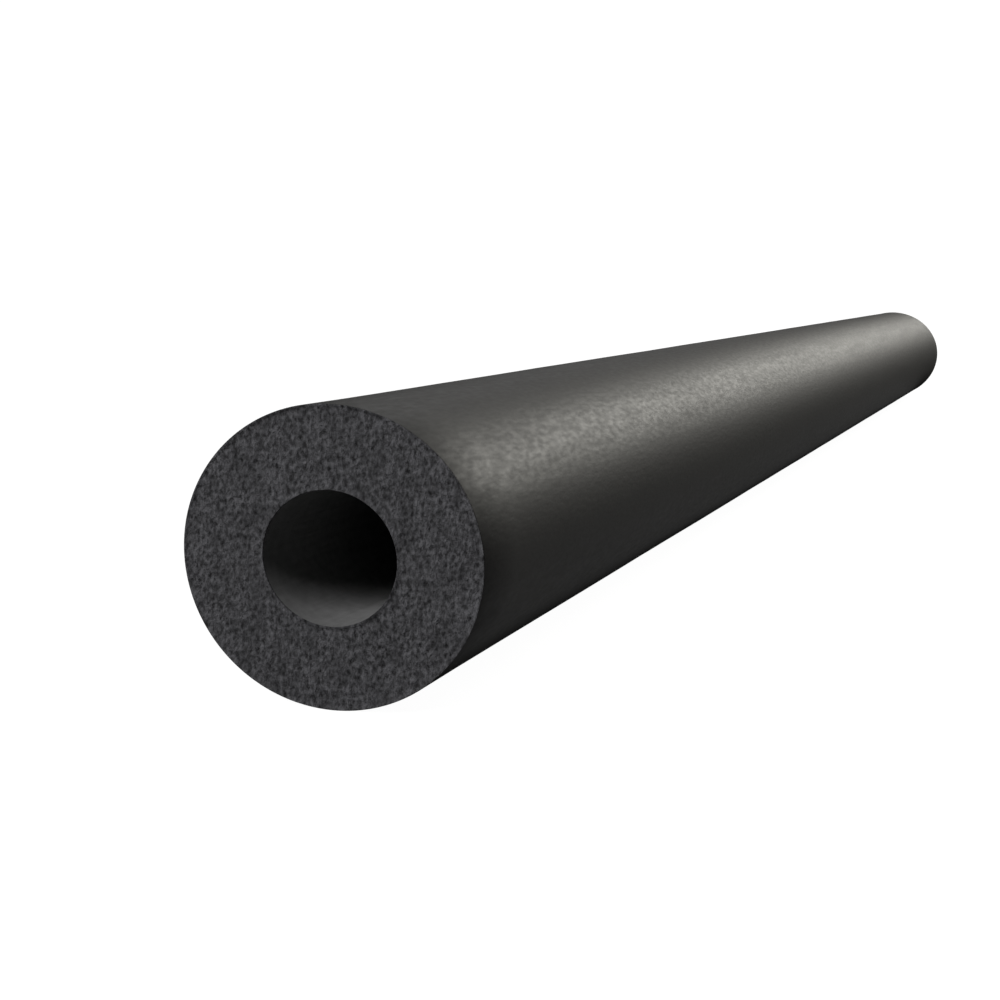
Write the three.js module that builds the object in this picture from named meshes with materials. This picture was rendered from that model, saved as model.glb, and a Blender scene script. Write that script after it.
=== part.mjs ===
// Pipe insulation lagging: one length of black elastomeric foam tube, as sold for slipping over a pipe.
//
// The tube is extruded and foamed in one piece, so it is one solid: a thick foam wall round an open
// bore, cut square at both ends. It lies on its side. Units are millimetres, +Z is up, +X runs along
// the tube from the end that faces the viewer to the far end, and the origin is on the floor under
// the middle of the tube.

import * as THREE from "three";

// Driving dimensions
const LENGTH = 1000; // one stock length
const BORE = 30.5; // inside diameter, for a 28 mm pipe: such tubes are made 1.5 to 3 mm over the pipe
const WALL = 19; // thickness of the foam wall
const FLATTENING = 0.035; // the soft tube settles this share wider than round, and as much lower
const SIDES = 192; // flat faces round the section; a multiple of four puts one of them underneath

// Sizes that follow from them
const OUTSIDE = BORE + 2 * WALL;
const WIDER = 1 + FLATTENING;
const LOWER = 1 - FLATTENING;
const HALF_FACE = Math.PI / SIDES; // half the angle that one flat face takes up
const AXIS_HEIGHT = (OUTSIDE / 2) * LOWER * Math.cos(HALF_FACE);

const foam = new THREE.MeshStandardMaterial({
  name: "elastomeric_foam",
  color: new THREE.Color(0.04, 0.04, 0.042),
  roughness: 0.62,
  metalness: 0,
});

// Adds one ring of the section to a path, with a flat face, not a corner, at its lowest point
function addRing(path, diameter) {
  const halfWidth = (diameter / 2) * WIDER;
  const halfHeight = (diameter / 2) * LOWER;
  path.absellipse(0, 0, halfWidth, halfHeight, HALF_FACE, HALF_FACE + 2 * Math.PI, false, 0);
  return path;
}

// The section across the tube: the outer skin, with the bore as a hole in it
function tubeSection() {
  const section = addRing(new THREE.Shape(), OUTSIDE);
  section.holes.push(addRing(new THREE.Path(), BORE));
  return section;
}

function insulationTube() {
  const geometry = new THREE.ExtrudeGeometry(tubeSection(), {
    depth: LENGTH,
    bevelEnabled: false,
    curveSegments: SIDES / 2, // three.js draws an ellipse with two segments for each of these
  });
  geometry.translate(0, 0, -LENGTH / 2);
  // The extrusion runs along +Z with the section's height along +Y: turn it to run along +X, height up
  geometry.rotateX(Math.PI / 2);
  geometry.rotateZ(Math.PI / 2);
  const tube = new THREE.Mesh(geometry, foam);
  tube.name = "insulation_tube";
  tube.position.z = AXIS_HEIGHT;
  return tube;
}

const lagging = new THREE.Group();
lagging.add(insulationTube());

export default lagging;
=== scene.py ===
# %% [markdown]
# # Pipe insulation lagging
#
# The object is one length of black rubber foam tube that slips over a pipe and keeps its heat in. It is
# extruded and foamed in one piece, so there is nothing to assemble: the work is in its surfaces. There
# are three: the cut foam of the two ends, the satin skin outside, and the skin inside the bore. This
# file loads the solid tube, builds a finer tube of the same size over it, roughens its ends like cut
# foam, and gives each surface its own finish. The floor and the lights come last.

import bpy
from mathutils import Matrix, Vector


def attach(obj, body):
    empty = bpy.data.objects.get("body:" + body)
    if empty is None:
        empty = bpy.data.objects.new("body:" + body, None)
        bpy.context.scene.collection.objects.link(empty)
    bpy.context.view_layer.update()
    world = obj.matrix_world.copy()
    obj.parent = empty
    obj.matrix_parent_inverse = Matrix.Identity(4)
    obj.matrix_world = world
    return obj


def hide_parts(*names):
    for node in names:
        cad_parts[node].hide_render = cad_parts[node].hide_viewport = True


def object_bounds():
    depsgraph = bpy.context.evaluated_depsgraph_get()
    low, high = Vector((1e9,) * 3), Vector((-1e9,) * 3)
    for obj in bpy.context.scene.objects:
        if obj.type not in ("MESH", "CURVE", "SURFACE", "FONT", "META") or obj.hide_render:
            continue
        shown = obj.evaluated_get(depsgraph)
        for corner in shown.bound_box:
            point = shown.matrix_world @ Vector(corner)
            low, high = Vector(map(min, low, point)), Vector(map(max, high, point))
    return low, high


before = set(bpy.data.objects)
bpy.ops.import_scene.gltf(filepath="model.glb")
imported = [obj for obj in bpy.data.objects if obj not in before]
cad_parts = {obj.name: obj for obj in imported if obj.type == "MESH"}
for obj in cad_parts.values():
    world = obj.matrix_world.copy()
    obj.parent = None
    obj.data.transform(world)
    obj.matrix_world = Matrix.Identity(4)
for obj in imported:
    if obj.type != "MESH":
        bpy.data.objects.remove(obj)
solid_low, solid_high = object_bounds()
print("the solid tube spans", [round(v, 4) for v in solid_low], "to", [round(v, 4) for v in solid_high])

# %% [markdown]
# ## Sizes
#
# A soft tube is never quite round: lying on a floor it settles a little wider than high. The box of the
# solid gives the length and the two widths of the oval. Their average is the size across that the tube
# has when it is round, and the solid's innermost points give the bore. Nothing is typed in twice, so
# this tube stays on the solid if the solid is made in another size.

# %% Sizes, in metres
import math

import bmesh
import bpy
import numpy as np

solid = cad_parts["insulation_tube"]
length = solid_high.x - solid_low.x
outside = (solid_high.y - solid_low.y + solid_high.z - solid_low.z) / 2
wider = (solid_high.y - solid_low.y) / outside
lower = (solid_high.z - solid_low.z) / outside
axis_height = (solid_low.z + solid_high.z) / 2


def round_radius(points):
    """How far points lie from the axis, as they would in a tube that is still round."""
    return np.hypot(points[:, 1] / wider, (points[:, 2] - axis_height) / lower)


bore = 2 * round_radius(np.array([vertex.co for vertex in solid.data.vertices])).min()
wall = (outside - bore) / 2
print(f"length {length:.3f}, outside {outside:.4f}, bore {bore:.4f}, wall {wall:.4f}")
print(f"the oval is {wider:.4f} of round across and {lower:.4f} of round in height")

# %% [markdown]
# ## Camera
#
# The view is from close to one end, a little above the tube and to one side, so the length shrinks
# quickly towards the far end. The place and the angles were worked out from the two rims and the two
# long edges of the photographed tube. Moving a camera by eye would also come close, but the rims and
# the edges would not fit together. The lens is a little longer than normal, with no shift and no roll.

# %% The camera
CAMERA_PLACE = (-0.7977, -0.1496, 0.0917)
CAMERA_HEADING = math.radians(20.41)  # from the tube's own direction, towards +Y
CAMERA_LOOKS_DOWN = math.radians(7.91)
LENS_MM = 57.05
FILM_MM = 36
NEAREST_SEEN = 0.01
FARTHEST_SEEN = 100

bpy.ops.object.select_all(action="DESELECT")
bpy.ops.object.camera_add(
    location=CAMERA_PLACE,
    rotation=(math.pi / 2 - CAMERA_LOOKS_DOWN, 0, CAMERA_HEADING - math.pi / 2),
)
camera = bpy.context.object
camera.name = "view_camera"
camera.data.lens = LENS_MM
camera.data.sensor_width = FILM_MM
camera.data.clip_start = NEAREST_SEEN
camera.data.clip_end = FARTHEST_SEEN
bpy.context.scene.camera = camera
print("the camera stands", round(solid_low.x - CAMERA_PLACE[0], 3), "m before the near end")

# %% [markdown]
# ## The two ends
#
# Each end is a flat ring where a knife went through the foam. The near one starts as a circle at the
# size of the outside. Its edges are extruded and scaled in to the bore, which makes one band of long
# faces. The far end is a copy of it, a tube's length away. Cutting a hole through a cylinder with a
# Boolean would give the same rings, but with uneven faces that can't be divided finely later.

# %% Two flat rings
AROUND = 448  # points round every ring

bpy.ops.object.select_all(action="DESELECT")
bpy.ops.mesh.primitive_circle_add(vertices=AROUND, radius=outside / 2, rotation=(0, math.pi / 2, 0))
tube = bpy.context.object
tube.name = "foam_tube"
mesh = tube.data
bpy.ops.object.transform_apply(location=True, rotation=True, scale=True)
bpy.ops.object.mode_set(mode="EDIT")
bpy.ops.mesh.select_all(action="SELECT")
bpy.ops.mesh.extrude_edges_move()
bpy.ops.transform.resize(value=(1, bore / outside, bore / outside), center_override=(0, 0, 0))
bpy.ops.mesh.select_all(action="SELECT")
bpy.ops.transform.translate(value=(-length / 2, 0, 0))
bpy.ops.mesh.duplicate_move(TRANSFORM_OT_translate={"value": (length, 0, 0)})
print("two rings, with", len(bmesh.from_edit_mesh(mesh).faces), "faces in all")

# %% [markdown]
# ## The length
#
# The two outer rims are bridged with faces, and so are the two rims of the bore, each bridge cut into
# bands. An extrusion would give the same shape, but bridging leaves both ends exactly alike.

# %% The outer and the inner wall
SKIN_BANDS = 56
BORE_BANDS = 24

middle_of_wall = (bore + outside) / 4


def select_edges(wanted):
    """Selects the edges of the tube for which wanted(edge) is true, and counts them."""
    bpy.ops.mesh.select_mode(type="EDGE")
    bpy.ops.mesh.select_all(action="DESELECT")
    shape = bmesh.from_edit_mesh(mesh)
    chosen = [edge for edge in shape.edges if wanted(edge)]
    for edge in chosen:
        edge.select_set(True)
    bmesh.update_edit_mesh(mesh)
    return len(chosen)


def from_axis(vertex):
    """How far a point lies from the axis, while the tube is round and the axis is the X axis."""
    return math.hypot(vertex.co.y, vertex.co.z)


for bands, is_outer in ((SKIN_BANDS, True), (BORE_BANDS, False)):
    rims = select_edges(
        lambda edge: edge.is_boundary and (from_axis(edge.verts[0]) > middle_of_wall) == is_outer
    )
    bpy.ops.mesh.bridge_edge_loops(number_cuts=bands - 1)
    print("bridged", rims, "rim edges with", bands, "bands")

bpy.ops.mesh.select_all(action="SELECT")
bpy.ops.mesh.normals_make_consistent(inside=False)

# %% [markdown]
# ## The rims
#
# A knife leaves a crisp edge on foam, but not a razor: the skin relaxes over it. A bevel of two steps
# rounds the four rims by a third of a millimetre. A finer bevel would not show, and a wider one would
# make the foam look moulded and not cut. It is made while the cut faces are still one plain band,
# because it would run into finer faces.

# %% Rounded rims
RIM_ROUNDING = 0.00033
RIM_STEPS = 2
ROUND_PROFILE = 0.5
LOOKS_ALONG = 0.5


def is_rim(edge):
    """Whether the edge has a face that looks along the tube on one side only."""
    looks_along = [abs(face.normal.x) > LOOKS_ALONG for face in edge.link_faces]
    return looks_along[0] != looks_along[1]


rim_edges = select_edges(is_rim)
bpy.ops.mesh.bevel(offset=RIM_ROUNDING, segments=RIM_STEPS, profile=ROUND_PROFILE, affect="EDGES")
print("rounded", rim_edges, "rim edges")

# %% [markdown]
# ## Points for the cut faces
#
# A cut face could stay one flat band with a rough finish on it, but its open cells are deep enough to
# show, so it gets real points to move. Only the edges that run along the radius are subdivided, which
# turns each band into rings finer than the foam's cells. The round section is then pressed to its oval
# and lifted to lie on the floor.

# %% Fine rings on the cut faces
RINGS = 57


def is_spoke(edge):
    """Whether the edge runs along the radius of a cut face."""
    return abs(from_axis(edge.verts[0]) - from_axis(edge.verts[1])) > wall / 2


spokes = select_edges(is_spoke)
bpy.ops.mesh.subdivide(number_cuts=RINGS - 1)
bpy.ops.mesh.select_all(action="SELECT")
bpy.ops.transform.resize(value=(1, wider, lower), center_override=(0, 0, 0))
bpy.ops.transform.translate(value=(0, 0, axis_height))
bpy.ops.object.mode_set(mode="OBJECT")
triangles = sum(len(face.vertices) - 2 for face in mesh.polygons)
print("divided", spokes, "spokes, and the tube now has", triangles, "triangles")

# %% [markdown]
# ## The three surfaces
#
# Every later step needs to know which surface a face is on. It could be noted down while the faces are
# made, but the bevel and the dividing make new ones, so it is worked out once, from where the faces
# look. Faces that look along the tube are cut foam. The rest are skin, and how far they are from the
# axis tells the outer skin from the bore's. The knife cuts the outer skin clean, so only the first step
# of the outer bevel is foam, while both steps of the bore's bevel are.

# %% Which face is on which surface
CUT, SKIN, BORE_SKIN = 0, 1, 2
LOOKS_ALONG_OUTSIDE = 0.8
LOOKS_ALONG_IN_BORE = 0.3


def read_faces(name, width):
    """One property of every face of the tube, as rows of width numbers."""
    values = np.zeros(len(mesh.polygons) * width)
    mesh.polygons.foreach_get(name, values)
    return values.reshape(-1, width)


normals = read_faces("normal", 3)
centres = read_faces("center", 3)
is_outside = round_radius(centres) > middle_of_wall
surface = np.where(is_outside, SKIN, BORE_SKIN)
surface[np.abs(normals[:, 0]) > np.where(is_outside, LOOKS_ALONG_OUTSIDE, LOOKS_ALONG_IN_BORE)] = CUT
for name, kind in (("cut foam", CUT), ("outer skin", SKIN), ("bore skin", BORE_SKIN)):
    print(name, "has", int((surface == kind).sum()), "faces")

# %% [markdown]
# ## Which points may move
#
# The next step pushes points inwards. Moving all of them alike would fray the rims, so a vertex group
# says how much of the push each point gets. On the cut faces nearly all points move in full. Beside the
# rims the skin holds the foam, so they move only a quarter as much there. The outer skin moves too, but
# not near the rims, which stay crisp.

# %% How much each point moves
RIM_SHARE = 0.25
RIM_REACH = 0.0005
SKIN_FADE = 0.02
END_DEPTH = 1e-6  # points nearer than this to the end plane are on it


def read_points():
    """The places of the tube's points, one row each."""
    places = np.zeros(len(mesh.vertices) * 3)
    mesh.vertices.foreach_get("co", places)
    return places.reshape(-1, 3)


def point_group(name, shares):
    """A vertex group in which each point has its own share, in steps of a hundredth."""
    group = tube.vertex_groups.new(name=name)
    steps = shares.round(2)
    for step in np.unique(steps[steps > 0]):
        group.add(np.flatnonzero(steps == step).tolist(), float(step), "REPLACE")
    print("group", name, "moves", int((steps > 0).sum()), "of", len(steps), "points")


points = read_points()
radius = round_radius(points)
from_end = length / 2 - np.abs(points[:, 0])
from_rim = np.minimum(radius - bore / 2, outside / 2 - radius) - RIM_ROUNDING
held_at_rim = np.clip(RIM_SHARE + (1 - RIM_SHARE) * from_rim / RIM_REACH, 0, 1)
point_group("open_cells", held_at_rim * (from_end < END_DEPTH))
point_group("skin", np.clip(from_end / SKIN_FADE, 0, 1) * (radius > middle_of_wall))

# %% [markdown]
# ## Open cells, knife marks and soft waves
#
# Cut foam is a field of opened cells: small pits with thin walls between them. Sculpting them by hand
# would take days, and a Displace modifier does it with a texture. A cell-like Voronoi texture makes the
# pits. Soft clouds give the slow waviness that a hand-held knife leaves, and larger ones press the
# outer skin in by a fraction of a millimetre. The textures are clamped to one and one is the middle
# level, so every push is inwards and the tube stays within the size of the solid. Faces are shaded
# smooth where they meet at less than 60 degrees, so the pits look soft.

# %% Pushing the points in
CELL_SIZE = 0.0011
CELL_DEPTH = 0.00045
KNIFE_WAVE = 0.011
KNIFE_DEPTH = 0.0003
SKIN_WAVE = 0.045
SKIN_DEPTH = 0.0002
SMOOTH_BELOW = math.radians(60)


def press_in(label, kind, size, depth, group):
    """Pushes the points of a group inwards, by at most depth, with a procedural texture."""
    pattern = bpy.data.textures.new(label, type=kind)
    pattern.noise_scale = size
    pattern.use_clamp = True
    bpy.ops.object.modifier_add(type="DISPLACE")
    modifier = tube.modifiers[-1]
    modifier.name = label
    modifier.texture = pattern
    modifier.texture_coords = "LOCAL"
    modifier.direction = "NORMAL"
    modifier.mid_level = 1.0
    modifier.strength = depth
    modifier.vertex_group = group
    bpy.ops.object.modifier_apply(modifier=label)


bpy.ops.object.select_all(action="DESELECT")
tube.select_set(True)
bpy.context.view_layer.objects.active = tube
press_in("knife_marks", "CLOUDS", KNIFE_WAVE, KNIFE_DEPTH, "open_cells")
press_in("open_cells", "VORONOI", CELL_SIZE, CELL_DEPTH, "open_cells")
press_in("skin_waves", "CLOUDS", SKIN_WAVE, SKIN_DEPTH, "skin")
bpy.ops.object.shade_smooth_by_angle(angle=SMOOTH_BELOW)

points = read_points()
print("the ends now reach", points[:, 0].min().round(5), "and", points[:, 0].max().round(5))

# %% [markdown]
# ## A map for the finish
#
# The finishes below are patterns in space, so no map is needed to draw them. A map still helps where
# they are turned into pictures for other programs. Unwrapped as one sheet, a metre of tube would leave
# the small ends a few pixels each, so the surfaces are laid out one by one: the two cut faces get a large
# square each, the bore stands beside them, and the skin lies in two strips below, one for each half.

# %% Laying out the map
MARGIN = 0.008
FACE_SIDE = 0.40
STRIP_HEIGHT = 0.275
BORE_LEFT = 3 * MARGIN + 2 * FACE_SIDE
BORE_WIDTH = 1 - MARGIN - BORE_LEFT


def lay_out(corners, kind, is_far):
    """Places on the map for the corners of faces, whose surface is kind, in the far half or not."""
    along = corners[:, 0] / length + 0.5
    sideways = corners[:, 1] / wider
    upwards = (corners[:, 2] - axis_height) / lower
    turn = np.arctan2(sideways, upwards) / (2 * np.pi) + 0.5
    places = np.zeros((len(corners), 2))
    cut = kind == CUT
    places[cut, 0] = MARGIN + (FACE_SIDE + MARGIN) * is_far[cut] + FACE_SIDE * (0.5 + sideways[cut] / outside)
    places[cut, 1] = 1 - MARGIN - FACE_SIDE * (0.5 + upwards[cut] / outside)
    skin = kind == SKIN
    places[skin, 0] = MARGIN + (1 - 2 * MARGIN) * (along[skin] * 2 - is_far[skin])
    places[skin, 1] = MARGIN + (STRIP_HEIGHT + MARGIN) * is_far[skin] + STRIP_HEIGHT * turn[skin]
    in_bore = kind == BORE_SKIN
    places[in_bore, 0] = BORE_LEFT + BORE_WIDTH * turn[in_bore]
    places[in_bore, 1] = 1 - MARGIN - FACE_SIDE * along[in_bore]
    return places


corner_points = np.zeros(len(mesh.loops), int)
mesh.loops.foreach_get("vertex_index", corner_points)
corner_faces = np.repeat(np.arange(len(mesh.polygons)), read_faces("loop_total", 1)[:, 0].astype(int))
corner_kinds = surface[corner_faces]
map_places = lay_out(points[corner_points], corner_kinds, centres[corner_faces, 0] > 0)
print("laid out", len(map_places), "corners of", len(mesh.polygons), "faces")

# %% [markdown]
# ## Closing the map's seam
#
# A full turn round the tube ends where it began, so a face that lies across that line has corners at
# both ends of its strip, and would be drawn right across it. The faces could be split along the line,
# but it is simpler to move their low corners past the top, where the strip goes on.

# %% Moving corners over the seam
for kind, column, whole_turn in ((SKIN, 1, STRIP_HEIGHT), (BORE_SKIN, 0, BORE_WIDTH)):
    highest = np.zeros(len(mesh.polygons))
    np.maximum.at(highest, corner_faces, map_places[:, column])
    left_behind = highest[corner_faces] - map_places[:, column] > whole_turn / 2
    over_seam = left_behind & (corner_kinds == kind)
    map_places[over_seam, column] += whole_turn
    print("corners moved over the seam:", int(over_seam.sum()))

finish_map = mesh.uv_layers.new(name="OFBake")
finish_map.data.foreach_set("uv", map_places.reshape(-1))

# %% [markdown]
# ## Patterns
#
# The finishes are made of two patterns, soft noise and round cells. Both are placed in the object's own
# space, so that they stay on it from every side. An image could be used instead, but a pattern has no
# pixels and no edge, and its grain can be set in real millimetres.

# %% Helpers for patterns


def object_space(tree, stretch=(1, 1, 1)):
    """The object's own coordinates. A number below one draws the pattern out along that axis."""
    coordinates = tree.nodes.new("ShaderNodeTexCoord")
    mapping = tree.nodes.new("ShaderNodeMapping")
    mapping.inputs["Scale"].default_value = stretch
    tree.links.new(coordinates.outputs["Object"], mapping.inputs["Vector"])
    return mapping.outputs["Vector"]


def noise(tree, space, size, detail=2.0, rough=0.5):
    """Soft noise whose blobs are about size metres across."""
    node = tree.nodes.new("ShaderNodeTexNoise")
    node.inputs["Scale"].default_value = 1 / size
    node.inputs["Detail"].default_value = detail
    node.inputs["Roughness"].default_value = rough
    tree.links.new(space, node.inputs["Vector"])
    return node.outputs["Fac"]


def cells(tree, space, size):
    """The distance from the middle of a cell, for cells about size metres across."""
    node = tree.nodes.new("ShaderNodeTexVoronoi")
    node.feature = "F1"
    node.inputs["Scale"].default_value = 1 / size
    tree.links.new(space, node.inputs["Vector"])
    return node.outputs["Distance"]


# %% [markdown]
# ## Arithmetic on patterns
#
# A pattern is only a number at every point. These helpers turn it into another range, combine two of
# them, and make a slightly coloured grey of one. A colour ramp could do the first, but a Map Range node
# shows its four numbers plainly. Nearly all of a noise lies between 0.3 and 0.7, so that is the range
# that the finishes stretch.

# %% Helpers for arithmetic
USUAL = (0.3, 0.7)


def spread(tree, value, old_range, new_range):
    """Stretches the old range of a value to the new one, and cuts off what lies outside."""
    node = tree.nodes.new("ShaderNodeMapRange")
    node.inputs["From Min"].default_value = old_range[0]
    node.inputs["From Max"].default_value = old_range[1]
    node.inputs["To Min"].default_value = new_range[0]
    node.inputs["To Max"].default_value = new_range[1]
    tree.links.new(value, node.inputs["Value"])
    return node.outputs["Result"]


def combine(tree, operation, first, second):
    """Arithmetic on two values, each a socket or a number."""
    node = tree.nodes.new("ShaderNodeMath")
    node.operation = operation
    for socket, value in zip(node.inputs, (first, second)):
        if isinstance(value, (int, float)):
            socket.default_value = value
        else:
            tree.links.new(value, socket)
    return node.outputs["Value"]


def tinted(tree, value, tint):
    """A grey of that value, coloured by tint."""
    node = tree.nodes.new("ShaderNodeVectorMath")
    node.operation = "SCALE"
    node.inputs[0].default_value = tint
    tree.links.new(value, node.inputs["Scale"])
    return node.outputs["Vector"]


# %% [markdown]
# ## Starting a finish
#
# Every finish is a new material with the one shader that other programs understand as well. Its colour
# comes from a pattern. Its finest relief could be real points too, but millions of them, so it comes
# from a bump, which bends the light without moving points.

# %% Helpers for a finish


def new_finish(name):
    """A material, its node tree and its shader."""
    material = bpy.data.materials.new(name)
    material.use_nodes = True
    return material, material.node_tree, material.node_tree.nodes["Principled BSDF"]


def paint(tree, shader, grey, tint):
    """Gives a shader its colour, from a pattern of greys and a tint."""
    tree.links.new(tinted(tree, grey, tint), shader.inputs["Base Color"])


def bump(tree, shader, height, depth):
    """Relief in which a height of one stands depth metres proud."""
    node = tree.nodes.new("ShaderNodeBump")
    node.inputs["Strength"].default_value = 1.0
    node.inputs["Distance"].default_value = depth
    tree.links.new(height, node.inputs["Height"])
    tree.links.new(node.outputs["Normal"], shader.inputs["Normal"])


# %% [markdown]
# ## Cut foam
#
# Up close the cut is a fine salt-and-pepper grain: the walls of the cells catch the light and the open
# cells swallow it. One dark grey would do from afar, but it would look like rubber and not like foam.
# The mesh already carries the larger cells. The finish adds pits of their size, the smaller cells between
# them, and slow patches where the foam is a little more open. The same pattern makes the colour and the
# bump. The colour is partly the foam's own grain and partly painted shade: what is deep is painted dark,
# and the cell walls lighter. The knife went down through the foam and drew its cells out a little, so the
# pattern is stretched that way.

# %% The cut foam finish
# The darkest grey is painted shade in the bottoms of the pits, the lightest is the grey of the cell walls.
CUT_PIT_SHADE = 0.004
CUT_LIGHT = 0.109
CUT_TINT = (0.98, 0.97, 1.04)
CUT_ROUGHNESS = 0.85
CUT_SHINE = 0.25
CUT_RELIEF = 0.0003
KNIFE_STRETCH = (1, 1, 0.7)
PIT_SHARE = 0.3  # the small cells have the rest
PIT_USUAL = (0.1, 0.75)
SMALL_CELLS = 0.0009
SMALL_USUAL = (0.36, 0.68)
SMALL_REACH = 1.1 * (1 - PIT_SHARE)
OPEN_PATCHES = 0.003
PATCH_STRENGTH = (0.65, 1.35)

cut_foam, tree, shader = new_finish("cut_foam")
space = object_space(tree, KNIFE_STRETCH)
pits = spread(tree, cells(tree, space, CELL_SIZE), PIT_USUAL, (0, PIT_SHARE))
grain = noise(tree, space, SMALL_CELLS, detail=3.0, rough=0.7)
small_walls = spread(tree, grain, SMALL_USUAL, (0, SMALL_REACH))
patches = spread(tree, noise(tree, space, OPEN_PATCHES, detail=3.0), USUAL, PATCH_STRENGTH)
relief = combine(tree, "MULTIPLY", combine(tree, "ADD", pits, small_walls), patches)
# The colour follows the depth of the relief, so the pits get painted shade.
paint(tree, shader, spread(tree, relief, (0, 1), (CUT_PIT_SHADE, CUT_LIGHT)), CUT_TINT)
shader.inputs["Roughness"].default_value = CUT_ROUGHNESS
shader.inputs["Specular IOR Level"].default_value = CUT_SHINE
bump(tree, shader, relief, CUT_RELIEF)
print(cut_foam.name, "is made of", len(tree.nodes), "nodes")

# %% [markdown]
# ## Outer skin
#
# The skin formed against the cooler die, so it is closed and almost smooth, with a satin sheen and a
# very fine grain, like a dusting of powder. The grain could be painted in two greys, but on the real
# tube it shows in the highlight and hardly at all in the dark flank. So it is put in the bump and in
# the roughness, and the colour only drifts slowly between two near blacks.

# %% The outer skin finish
SKIN_GREY = 0.018
SKIN_DRIFT = 0.03
SKIN_DRIFT_GREYS = (SKIN_GREY * 0.9, SKIN_GREY * 1.1)
SKIN_TINT = (1.03, 1.0, 0.94)
SKIN_GRAIN = 0.0013
SKIN_RELIEF = 0.000054
GRAIN_STRETCH = (0.33, 1, 1)  # drawn out by the die, along the tube
GRAIN_ROUGHNESS = (-0.04, 0.04)  # added to that of the streaks
SKIN_STREAK = 0.004
SKIN_STREAK_STRETCH = (0.08, 1, 1)
SKIN_STREAK_ROUGHNESS = (0.58, 0.62)

outer_skin, tree, shader = new_finish("outer_skin")
grain = noise(tree, object_space(tree, GRAIN_STRETCH), SKIN_GRAIN, detail=1.0)
streaks = noise(tree, object_space(tree, SKIN_STREAK_STRETCH), SKIN_STREAK)
drift = spread(tree, noise(tree, object_space(tree), SKIN_DRIFT), USUAL, SKIN_DRIFT_GREYS)
paint(tree, shader, drift, SKIN_TINT)
dull_grain = spread(tree, grain, USUAL, GRAIN_ROUGHNESS)
dull_streaks = spread(tree, streaks, USUAL, SKIN_STREAK_ROUGHNESS)
tree.links.new(combine(tree, "ADD", dull_grain, dull_streaks), shader.inputs["Roughness"])
bump(tree, shader, grain, SKIN_RELIEF)
print(outer_skin.name, "is made of", len(tree.nodes), "nodes")

# %% [markdown]
# ## Bore skin
#
# The bore is skinned too, but it is dusted with powder so that it slides over a pipe. That makes it
# lighter and duller than the outside. It could share the outer skin's finish, but then the light that
# falls in would hardly show. Long streaks from the die run down it, too faint to stand out.

# %% The bore's finish
BORE_GREY = 0.145
BORE_TINT = (1, 1, 1)
BORE_ROUGHNESS = 0.75
BORE_SHINE = 0.3
BORE_RELIEF = 0.00003
BORE_STREAK = 0.0012
BORE_STREAK_STRETCH = (0.03, 1, 1)
BORE_STREAK_GREYS = (BORE_GREY * 0.93, BORE_GREY * 1.07)
BORE_DUST = 0.0025
BORE_DUST_STRENGTH = (0.9, 1.1)

bore_skin, tree, shader = new_finish("bore_skin")
streaks = noise(tree, object_space(tree, BORE_STREAK_STRETCH), BORE_STREAK, detail=3.0, rough=0.6)
dust = noise(tree, object_space(tree), BORE_DUST, detail=3.0)
light_streaks = spread(tree, streaks, USUAL, BORE_STREAK_GREYS)
light_dust = spread(tree, dust, USUAL, BORE_DUST_STRENGTH)
paint(tree, shader, combine(tree, "MULTIPLY", light_streaks, light_dust), BORE_TINT)
shader.inputs["Roughness"].default_value = BORE_ROUGHNESS
shader.inputs["Specular IOR Level"].default_value = BORE_SHINE
bump(tree, shader, streaks, BORE_RELIEF)
print(bore_skin.name, "is made of", len(tree.nodes), "nodes")

# %% [markdown]
# ## Putting the finishes on
#
# The three materials go into three slots, in the order in which the surfaces were numbered, and every
# face is told its number. One material with masks would look the same, but three are easier to change.
# The tube then takes the place of the plain solid.

# %% The finishes and the frame
for finish in (cut_foam, outer_skin, bore_skin):
    mesh.materials.append(finish)
mesh.polygons.foreach_set("material_index", surface.astype(np.int32))
mesh.update()

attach(tube, "root")
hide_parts("insulation_tube")
print(tube.name, "has the finishes", [finish.name for finish in mesh.materials])

# %% [markdown]
# ## Floor
#
# The tube was photographed on plain white. A truly white floor would also light its underside and flank
# from below, and the real flank is nearly black. So the floor is a dark grey that glows: fully towards
# the camera, and hardly at all towards the tube. The Light Path node tells the two apart. The lamps add
# their own light near the tube, so the glow is a little weaker there. Far away it is a little more than
# white, which keeps the picture white up to its edge. The tube's sheen doesn't mirror the floor.

# %% The floor
FLOOR_SIZE = 30
FLOOR_GREY = (0.08, 0.08, 0.08, 1)
FLOOR_ROUGHNESS = 0.9
FLOOR_LIGHT = 0.02  # the share of its glow that reaches the tube
FLOOR_SEEN = 1.0
GLOW = (0.98, 1.04)
GLOW_RISES = (0.6, 2.5)  # metres from the middle of the tube
WHITE = (1, 1, 1, 1)


def seen_or_lighting(tree, light_share, seen_share):
    """One number for what the camera sees of a glow, and another for what the glow lights."""
    path = tree.nodes.new("ShaderNodeLightPath")
    return spread(tree, path.outputs["Is Camera Ray"], (0, 1), (light_share, seen_share))


bpy.ops.object.select_all(action="DESELECT")
bpy.ops.mesh.primitive_plane_add(size=FLOOR_SIZE)
floor = bpy.context.object
floor.name = "floor"
floor_paint, tree, shader = new_finish("floor_paint")
from_tube = tree.nodes.new("ShaderNodeVectorMath")
from_tube.operation = "LENGTH"
tree.links.new(object_space(tree), from_tube.inputs[0])
glow = spread(tree, from_tube.outputs["Value"], GLOW_RISES, GLOW)
strength = combine(tree, "MULTIPLY", glow, seen_or_lighting(tree, FLOOR_LIGHT, FLOOR_SEEN))
tree.links.new(strength, shader.inputs["Emission Strength"])
shader.inputs["Emission Color"].default_value = WHITE
shader.inputs["Base Color"].default_value = FLOOR_GREY
shader.inputs["Roughness"].default_value = FLOOR_ROUGHNESS
floor.data.materials.append(floor_paint)
floor.visible_glossy = False
print("the floor is", FLOOR_SIZE, "m square")

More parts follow.
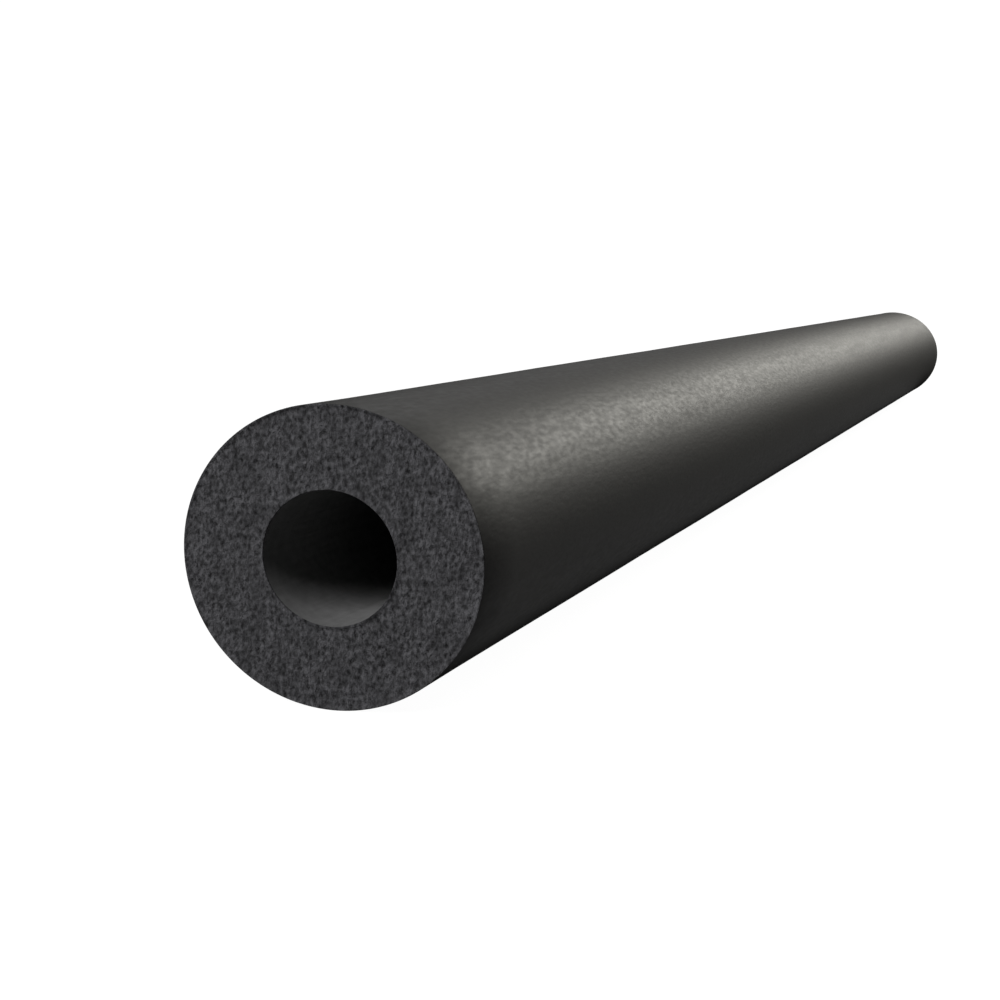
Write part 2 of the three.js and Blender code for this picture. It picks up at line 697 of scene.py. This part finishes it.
# %% [markdown]
# ## Air
#
# The air behind the floor is white too, for the same reason and in the same way: it is seen in full,
# and only a little of it lights the tube, so that the shadows keep some form. A white wall would do as
# well, but only from one side.

# %% The air
AIR_LIGHT = 0.025
AIR_SEEN = 1.05

air = bpy.data.worlds.new("air")
air.use_nodes = True
bpy.context.scene.world = air
background = air.node_tree.nodes["Background"]
background.inputs["Color"].default_value = WHITE
strength = seen_or_lighting(air.node_tree, AIR_LIGHT, AIR_SEEN)
air.node_tree.links.new(strength, background.inputs["Strength"])
print("the air lights the tube with", AIR_LIGHT, "and is seen as", AIR_SEEN)

# %% [markdown]
# ## Lights
#
# All the lamps are soft boxes. One in front lights the cut face and the mouth of the bore. A warm one
# low beyond the far end skims along the top of the tube, and it makes the long highlight that grows
# brighter into the distance. One high above it softens the upper edge. A faint strip that lies on the
# floor beside the tube lifts the lower flank, as light from a white floor does. One large lamp would be
# simpler, but it would flatten the highlight and fill the bore.

# %% The lights
WARM = (1, 0.98, 0.91)

near_end = (solid_low.x, 0, axis_height)
middle = (0, 0, axis_height)
beyond_middle = (0.2, 0, axis_height)
beside_tube = (-0.03, -0.07, 0.002)
above_it = (-0.03, -0.07, 1)


def soft_box(name, place, towards, size, watts, colour=(1, 1, 1)):
    """A rectangular lamp that faces a point, and is not seen itself."""
    bpy.ops.object.light_add(type="AREA", location=place)
    lamp = bpy.context.object
    lamp.name = name
    lamp.data.shape = "RECTANGLE"
    lamp.data.size = size[0]
    lamp.data.size_y = size[1]
    lamp.data.energy = watts
    lamp.data.color = colour
    lamp.visible_camera = False
    aim = np.subtract(towards, place)
    rise = math.atan2(aim[2], math.hypot(aim[0], aim[1]))
    heading = math.atan2(aim[1], aim[0])
    lamp.rotation_euler = (math.pi / 2 + rise, 0, heading - math.pi / 2)
    print(name, "gives", watts, "W from", round(float(np.linalg.norm(aim)), 2), "m away")


soft_box("front_light", place=(-1.41, 0.405, 0.705), towards=near_end, size=(0.6, 0.5), watts=13)
soft_box("far_light", place=(2.21, -0.81, 1.13), towards=middle, size=(0.8, 0.6), watts=30, colour=WARM)
soft_box("high_light", place=(1.73, 0.63, 1.87), towards=beyond_middle, size=(0.8, 0.5), watts=7)
soft_box("floor_light", place=beside_tube, towards=above_it, size=(0.08, 0.94), watts=0.034)

bpy.context.scene.view_settings.view_transform = "Standard"
bpy.context.scene.view_settings.look = "None"
